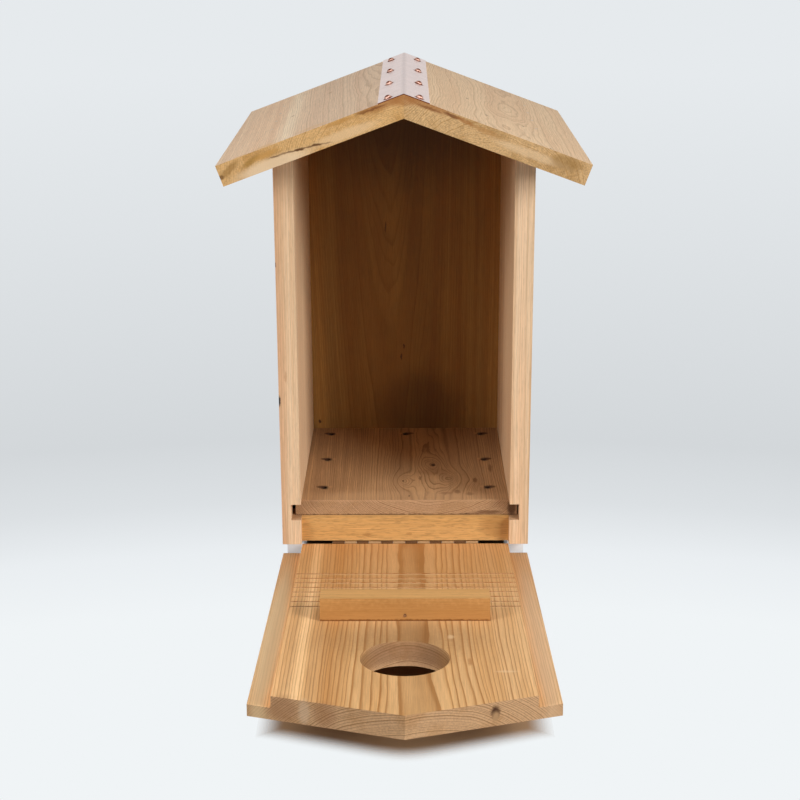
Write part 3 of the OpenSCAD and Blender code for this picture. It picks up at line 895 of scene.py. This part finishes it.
    def _right_marks(self) -> tuple[Mark, ...]:
        """Gives the right board's marks: pin knots on top, and the stains and the strip's painted shadow on
        its front end.

        Returns:
            The marks.
        """
        slope = self.pitch
        pins = tuple(
            Mark(self.spot(1, down, y), (1.6, 3.2, 1.6), "#5A3A20", 0.9)
            for down, y in ((63, -199), (79, -273), (115, -255), (134, -342)))
        return pins + marks_at(
            lambda x, z: (x, self.front, z),
            (19, 441.8, (34, 4, 6.4), "#9C6532", 0.72, slope), (0, 444.5, (16, 4, 6.6), "#9C632F", 0.6),
            # Painted shadow: the thin dark line right under the copper strip
            (12, 447.4, (24, 4, 1.6), "#5E3418", 0.8, slope),
            (22, 437.4, (15, 4, 1.4), "#6E3C18", 0.6, slope), (110, 398, (46, 4, 5), "#DCBE98", 0.5, slope),
            (42, 431.0, (12, 4, 1.9), "#6E3F1C", 0.85, 24), (52, 426.5, (12, 4, 2.6), "#9A6430", 0.7, 26),
            (70, 418, (16, 4, 3.0), "#A6743C", 0.5, 22),
            (138, 391, (17, 4, 9), "#8A6630", 0.6, slope))


@dataclass
class Door:
    """The drop-down door with its perch block.

    Attributes:
        nodes: the part's nodes by name.
        opened: angle between the photographed door and the shut door in degrees.
        hinge_line: a point of the inner face at the door's hinge end.
        hole_at: distance of the entry hole's middle from the hinge end.
        kerfs: distances of the ladder grooves from the hinge end.
    """

    nodes: dict[str, bpy.types.Object]
    opened: float
    hinge_line: Point
    hole_at: float = 313.5
    kerfs: tuple[float, ...] = tuple(94.5 + 13 * i for i in range(8))

    @classmethod
    def measured(cls, nodes: dict[str, bpy.types.Object], joint: dict[str, object]) -> Door:
        """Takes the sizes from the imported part.

        Args:
            nodes: the part's nodes by name.
            joint: the record's door hinge.

        Returns:
            The door with its sizes.
        """
        _, y, z = (v / MM for v in joint["pos_m"])
        # The inner face ends 2.1 mm in front of the hinge's axis and 0.3 mm below it
        return cls(nodes, -joint["range_deg"][0], (0.0, y - 2.1, z - 0.3))

    def point(self, across: float, along: float, height: float) -> Point:
        """Gives a point of the door.

        Args:
            across: place across the door.
            along: distance from the hinge end.
            height: distance above the inner face.

        Returns:
            The point in the part's frame.
        """
        _, y, z = self.hinge_line
        out, up = math.sin(math.radians(self.opened)), math.cos(math.radians(self.opened))
        return (across, y - along * out + height * up, z + along * up + height * out)

    def dress(self) -> None:
        """Gives the door, the perch and the brad their finishes."""
        # Fresh cedar: golden early wood, sharp brown ring lines that arch along the middle
        door = Cedar(
            name="cedar_door", pith=self.point(6, 200, -118), turn=(self.opened, 0.0, 0.3),
            early="#E0B27C", late="#A0682F", end="#D6AA7E", end_late="#92693E", stain="#BC8B58",
            stain_share=0.5, ring=1.65, ring_share=0.85, fleck=0.02, wander=3.4, wander_size=60, curl=0.42,
            ripple=0.22, stretch=0.15, tone="#D09A5E", tone_share=0.5, seed=5.2, roughness=0.5,
            swirls=(Swirl(self.point(62, 410, 0), (64, 220, 90), -3.2),),
            streaks=(
                Streak(-113, 16, "#D8D8D8", 1.0), Streak(113, 15, "#C3CAD6", 1.0),
                Streak(-90, 9, "#D8DFE8", 1.0), Streak(-68, 20, "#B0A698", 1.0),
                Streak(-47, 7, "#C2C4C6", 0.9), Streak(4, 22, "#ABA8A4", 1.0),
                Streak(27, 6, "#C2C2C0", 0.9), Streak(92, 16, "#C2C4C6", 0.9)),
            marks=self._door_marks())
        dress(self.nodes["door_panel"], door.material())
        block_low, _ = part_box("perch_block")
        # The block's lowest corner is the front edge of its foot
        reach = (self.hinge_line[1] - block_low.y / MM) / math.sin(math.radians(self.opened))
        # Straight fine grain; the front face is a deeper orange as painted shade, and a dark line along its
        # foot is painted contact shadow
        perch = Cedar(
            name="cedar_perch", pith=self.point(0, 260, -160), turn=GrainWay.ACROSS.value, early="#DCA96C",
            late="#AC7A3E", end="#B88A58", ring=1.2, ring_share=0.5, fleck=0.06, wander=2, wander_size=40,
            stretch=0.05, tone="#CC9856", seed=7.7, roughness=0.5,
            marks=(
                # Painted shade on the front face, and painted contact shadow along its foot
                Mark(self.point(0, reach + 2, 10), (260, 5, 60), "#A0682C", 0.66),
                Mark(self.point(0, reach, 0), (160, 4, 2.0), "#6A3A12", 0.85)))
        dress(self.nodes["perch_block"], perch.material())
        # A brad with the brown oxide of unplated steel wire
        dress(self.nodes["perch_brad"], RolledMetal("brad_steel", "#80583A", "#6A4830", 0.6).material())

    def _door_marks(self) -> tuple[Mark, ...]:
        """Gives the door's marks: tones, knot and scuffs, painted shade inside the entry hole, and the kerfs
        with painted shade in them and a painted highlight on each near lip.

        Returns:
            The marks.
        """
        spots = tuple(Mark(self.point(*at), *look) for at, *look in (
            ((0, 40, 0), (260, 150, 60), "#C07A35", 0.3),
            # Painted shade: the entry hole's wall, and faintly the face round it, darkened
            ((0, self.hole_at, -11), (120, 120, 13.5), "#6C4526", 0.66),
            ((68.5, 402.7, -8), (5.2, 7, 7.4), "#4A2A14"), ((68.5, 402.7, -11.5), (3.7, 8, 6.2), "#B48C62"),
            ((-112, 214, -6), (11, 330, 40), "#E8C898", 0.75),
            ((112, 214, -6), (11, 330, 40), "#E0BA92", 0.5), ((38, 262, 0), (4, 7, 2), "#F0D2A8", 0.4),
            ((80, 339, 0), (12, 3.0, 2), "#E8C79E", 0.4), ((-92, 392, -9), (17, 14, 14), "#935F3A", 0.42),
            ((-76, 399, -9), (6, 13, 14), "#DBBB9A", 0.5), ((-60, 405, -9), (13, 13, 14), "#935F3A", 0.36),
            ((52, 318, 0), (2.6, 13, 2), "#A86E38", 0.6)))
        # Painted shade in the ladder grooves, and a painted highlight along each groove's near lip
        kerf_shade = [Mark(self.point(0, kerf, -1.2), (600, 2.1, 1.6), "#A8682E", 0.9) for kerf in self.kerfs]
        lip_highlights = [Mark(self.point(0, kerf + 2.6, 0.2), (160, 1.7, 0.9), "#F0CB98", 0.45) for kerf in self.kerfs]
        return (*spots, *kerf_shade, *lip_highlights)


@dataclass
class Fasteners:
    """The hinge, its screws and all finish nails.

    Attributes:
        nodes: the part's nodes by name.
    """

    nodes: dict[str, bpy.types.Object]

    def dress(self) -> None:
        """Gives the metal parts their finishes."""
        across = (1.0, 0.0, 0.0)
        # Mill aluminium is grey; both leaves are painted brown as a painted reflection of the warm boards,
        # and the rail leaf darker still as painted shade
        dark = RolledMetal("aluminium_with_painted_shade", "#6A4C34", "#543A28", 0.55, roll=across)
        dull = RolledMetal("aluminium_with_painted_reflection", "#AE8C66", "#8A7058", 0.5, roll=across)
        # Drawn wire, half bright
        steel = RolledMetal("drawn_steel", "#A9A7A3", "#8E8C88", 0.38, roll=across)
        dress(self.nodes["hinge_rail_leaf"], dark.material())
        dress(self.nodes["hinge_door_leaf"], dull.material())
        shown = ("hinge_pin", "rail_leaf_screws", "door_leaf_screws")
        material = steel.material()
        for name in shown + tuple(n for n in self.nodes if "nails" in n and not n.startswith("ridge")):
            dress(self.nodes[name], material)


@dataclass
class Studio:
    """Floor, riser, light and camera of the photograph.

    Attributes:
        ground: height of the floor.
        tip: how far the open door's tip reaches forward.
        sheet: half width and half length of the floor sheet, kept within the object's outline.
        sheet_at: place of its middle.
        shade: half width of the tan sheet of painted shade under the door, its rear edge and its way from the
            tip.
        riser_top: height of the riser's top, a hair under the boards.
        riser_rear: place of the riser's rear face.
        eye: the camera's place.
        pitch: how far the camera looks down, in degrees.
        yaw: how far it looks to the right.
        roll: how far it is turned about its own line of sight.
        focal: focal length in pixels.
        frame: width of the picture in pixels.
    """

    ground: float
    tip: float
    sheet: tuple[float, float] = (100.0, 375.0)
    sheet_at: float = -175.0
    shade: Point = (118.0, -70.0, 26.0)
    riser_top: float = -0.2
    riser_rear: float = -4.0
    eye: Point = (2.96, -1743.0, 622.7)
    pitch: float = 17.658
    yaw: float = -0.292
    roll: float = -0.224
    focal: float = 1634.6
    frame: float = 800.0

    def build(self) -> None:
        """Makes the floor, the riser, the lamps, the world and the camera."""
        self._floor()
        self._riser()
        self._lay_painted_shade()
        self._lamps()
        self._world()
        self._camera()
        log.info("studio: floor at %.1f mm", self.ground)

    def _floor(self) -> None:
        """Makes the pale floor, which catches the object's shadow and fades into the surroundings."""
        form = bmesh.new()
        across, along = self.sheet
        bmesh.ops.create_grid(form, x_segments=1, y_segments=1, size=1, matrix=Matrix.Translation(
            Vector((0, self.sheet_at, self.ground)) * MM) @ Matrix.Diagonal((across * MM, along * MM, 1, 1)))
        material, tree = new_material("white_paper")
        edge = self._clear_of_object(tree, back=158.0, ramp=30.0, half=68.0, rear=165.0)
        self._paper(tree, "#8C8C8C", self._lit_up(tree, edge, 12.0))
        self._stage_piece("floor_sheet", form, material).is_shadow_catcher = True

    def _riser(self) -> None:
        """Stands the box on a white block, open under the hinge."""
        form = bmesh.new()
        # Two cheeks under the side boards and a block under the rear part of the floor
        for left, right, front in ((-117, -101, -240), (101, 117, -240), (-101, 101, -60)):
            middle = Vector((left + right, front + self.riser_rear, self.ground + self.riser_top)) / 2
            size = Vector((right - left, self.riser_rear - front, self.riser_top - self.ground))
            bmesh.ops.create_cube(form, size=1, matrix=Matrix.Translation(middle * MM)
                                  @ Matrix.Diagonal((*(size * MM), 1)))
        material, tree = new_material("white_riser_board")
        self._paper(tree, "#EDEDED", self._lit_up(tree, 1.0, 0.15))
        self._stage_piece("riser", form, material)

    def _lay_painted_shade(self) -> None:
        """Lays a tan sheet of painted shade under the door, in place of the door's own warm shade.

        The paper is clear where nothing stands over it, so it goes away with the door.
        """
        form = bmesh.new()
        half, rear, short = self.shade
        front = short - self.tip
        corners = ((-half, front), (half, front), (half, rear), (-half, rear))
        # The paper lies 0.3 mm above the floor sheet
        form.faces.new([form.verts.new(Vector((x, y, self.ground + 0.3)) * MM) for x, y in corners])
        form.normal_update()
        material, tree = new_material("painted_shade_paper")
        # Under the door less than half of the sky within 120 mm is open
        sky = tree.add("AmbientOcclusion", {"Distance": 0.12}, out="AO", samples=32)
        bare = tree.add("MapRange.SMOOTHSTEP", {"Value": sky, "From Min": 0.44, "From Max": 0.62})
        edge = self._clear_of_object(tree, back=62.5, ramp=26.0, half=96.0, rear=0.0)
        # Painted shade: the sheet's tan stands in for the warm shade under the door
        self._paper(tree, "#BC9872", 0.0, tree.add("Math.MAXIMUM", bare, edge))
        self._stage_piece("painted_shade_sheet", form, material)

    @staticmethod
    def _stage_piece(name: str, form: bmesh.types.BMesh, material: bpy.types.Material) -> bpy.types.Object:
        """Turns a bmesh into a piece of the stage.

        Args:
            name: the piece's name.
            form: its form, in place.
            material: its finish.

        Returns:
            The new object.
        """
        mesh = bpy.data.meshes.new(name)
        form.to_mesh(mesh)
        form.free()
        mesh.materials.append(material)
        piece = bpy.data.objects.new(name, mesh)
        bpy.context.scene.collection.objects.link(piece)
        return piece

    @staticmethod
    def _paper(tree: Tree, colour: str, glow: Socket | float, clear: Socket | None = None) -> None:
        """Finishes a sheet of matt paper, whose loose fibres scatter light evenly and leave no gloss.

        Args:
            tree: the material's tree.
            colour: the paper's colour.
            glow: strength of the light that it gives off towards the eye.
            clear: 1 where the paper can't be seen, 0 where it can.
        """
        shader = tree.add("BsdfPrincipled", {
            "Base Color": linear(colour), "Roughness": 0.9, "Emission Color": (1, 1, 1, 1),
            "Emission Strength": glow})
        if clear is not None:
            shader = tree.add("MixShader", clear, shader, tree.add("BsdfTransparent"))
        tree.add("OutputMaterial", {"Surface": shader})

    @staticmethod
    def _seen(tree: Tree) -> Socket:
        """Tells the eye's rays, also those by way of metal or glass, from the light on the object.

        Args:
            tree: the material's or the world's tree.

        Returns:
            1 for the eye's rays, 0 for others.
        """
        path = tree.add("LightPath").node.outputs
        direct = tree.add("Math.MAXIMUM", path["Is Camera Ray"], path["Is Glossy Ray"])
        return tree.add("Math.MAXIMUM", direct, path["Is Transmission Ray"])

    def _lit_up(self, tree: Tree, where: Socket | float, strength: float) -> Socket:
        """Lights a sheet up for the eye only (where is 1), so that shadows on it stay pale."""
        seen = tree.add("Math.MULTIPLY", self._seen(tree), where)
        return tree.add("Math.MULTIPLY", seen, strength)

    def _clear_of_object(self, tree: Tree, back: float, ramp: float, half: float, rear: float) -> Socket:
        """Marks the floor clear of the box and the door, where their shadow is only faint.

        Args:
            tree: the material's tree.
            back: distance behind the door's tip at which the clear floor begins.
            ramp: distance over which it rises.
            half: distance from the middle at which it begins at the sides.
            rear: distance behind the back board at which it begins there.

        Returns:
            0 under the object, rising to 1 a little way outside it.
        """
        axes = tree.add("SeparateXYZ", tree.place).node.outputs
        across = tree.add("Math.ABSOLUTE", axes["X"])
        # The door's soft shade ends on a rounded V, about 30 mm back at 95 mm from the middle
        corner, lean = 15.0, 0.36
        curve = tree.add("VectorMath.LENGTH", tree.add("CombineXYZ", {"X": across, "Y": corner * MM}))
        ahead = tree.add("Math.MULTIPLY_ADD", curve, lean, (back - self.tip - lean * corner) * MM)
        ahead = tree.add("Math.SUBTRACT", ahead, axes["Y"])
        beside = tree.add("Math.SUBTRACT", across, half * MM)
        outside = tree.add("Math.MAXIMUM", ahead, beside)
        behind = tree.add("Math.SUBTRACT", axes["Y"], rear * MM)
        outside = tree.add("Math.MAXIMUM", outside, behind)
        return tree.add("MapRange.SMOOTHSTEP", {"Value": outside, "From Min": 0.0, "From Max": ramp * MM})

    def _lamps(self) -> None:
        """Hangs a large soft lamp above and sets one on each side in front.

        The side lamps stand so far round that they light the side boards' inner faces and the front
        edges, but hardly reach the back board.
        """
        aim = Vector((0, -0.3, 0.2))
        for name, place, size, power in (
            ("overhead", (0.0, -0.75, 2.2), 1.6, 18.0),
            ("right_side_lamp", (1.5, -1.5, 1.0), 0.9, 38.0),
            ("left_side_lamp", (-1.5, -1.5, 1.0), 0.9, 22.0),
        ):
            lamp = bpy.data.lights.new(name, "AREA")
            lamp.size = size
            lamp.energy = power
            shown = bpy.data.objects.new(name, lamp)
            shown.location = place
            shown.rotation_euler = (aim - Vector(place)).to_track_quat("-Z", "Y").to_euler()
            bpy.context.scene.collection.objects.link(shown)

    def _world(self) -> None:
        """Makes the pale surroundings: near white below, greyer at the back, pale blue above."""
        world = bpy.data.worlds.new("pale_surroundings")
        bpy.context.scene.world = world
        world.use_nodes = True
        tree = Tree(world.node_tree)
        height = tree.add("SeparateXYZ", tree.way, out="Z")
        level = tree.add("MapRange", {"Value": height, "From Min": -0.56, "From Max": -0.06})
        ramp = tree.add("ValToRGB", level)
        set_stops(ramp, (
            (0.0, "#F0F4F6"), (0.28, "#F0F4F6"), (0.345, "#EAEEF1"), (0.4, "#DCE0E3"), (0.47, "#D3D7DA"),
            (0.7, "#DEE2E5"), (0.9, "#E6EAED")))
        light = tree.add("Background", {"Color": linear("#F4F6F8"), "Strength": 0.06})
        pale = tree.add("Background", {"Color": ramp, "Strength": 1.0})
        tree.add("OutputWorld", {"Surface": tree.add("MixShader", self._seen(tree), light, pale)})

    def _camera(self) -> None:
        """Sets the camera up at the photograph's place."""
        camera = bpy.data.cameras.new("photo_camera")
        camera.sensor_width = 36
        camera.lens = self.focal / self.frame * camera.sensor_width
        shown = bpy.data.objects.new("photo_camera", camera)
        turn = (
            Matrix.Rotation(-math.radians(self.yaw), 4, "Z")
            @ Matrix.Rotation(math.radians(90 - self.pitch), 4, "X")
            @ Matrix.Rotation(math.radians(self.roll), 4, "Z"))
        shown.matrix_world = Matrix.Translation(Vector(self.eye) * MM) @ turn
        bpy.context.scene.collection.objects.link(shown)
        bpy.context.scene.camera = shown


def main() -> None:
    """Loads the part and dresses it, sub-assembly by sub-assembly."""
    logging.basicConfig(level=logging.INFO, format="%(name)s: %(message)s")
    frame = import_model()
    nodes = frame["nodes"]
    bpy.context.scene.view_settings.view_transform = "Standard"
    Box.measured(nodes).dress()
    Roof.measured(nodes).dress()
    Door.measured(nodes, frame["joints"][0]).dress()
    Fasteners(nodes).dress()
    door_low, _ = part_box("door_panel")
    Studio(ground=door_low.z / MM, tip=-door_low.y / MM).build()


if __name__ == "__main__":
    main()
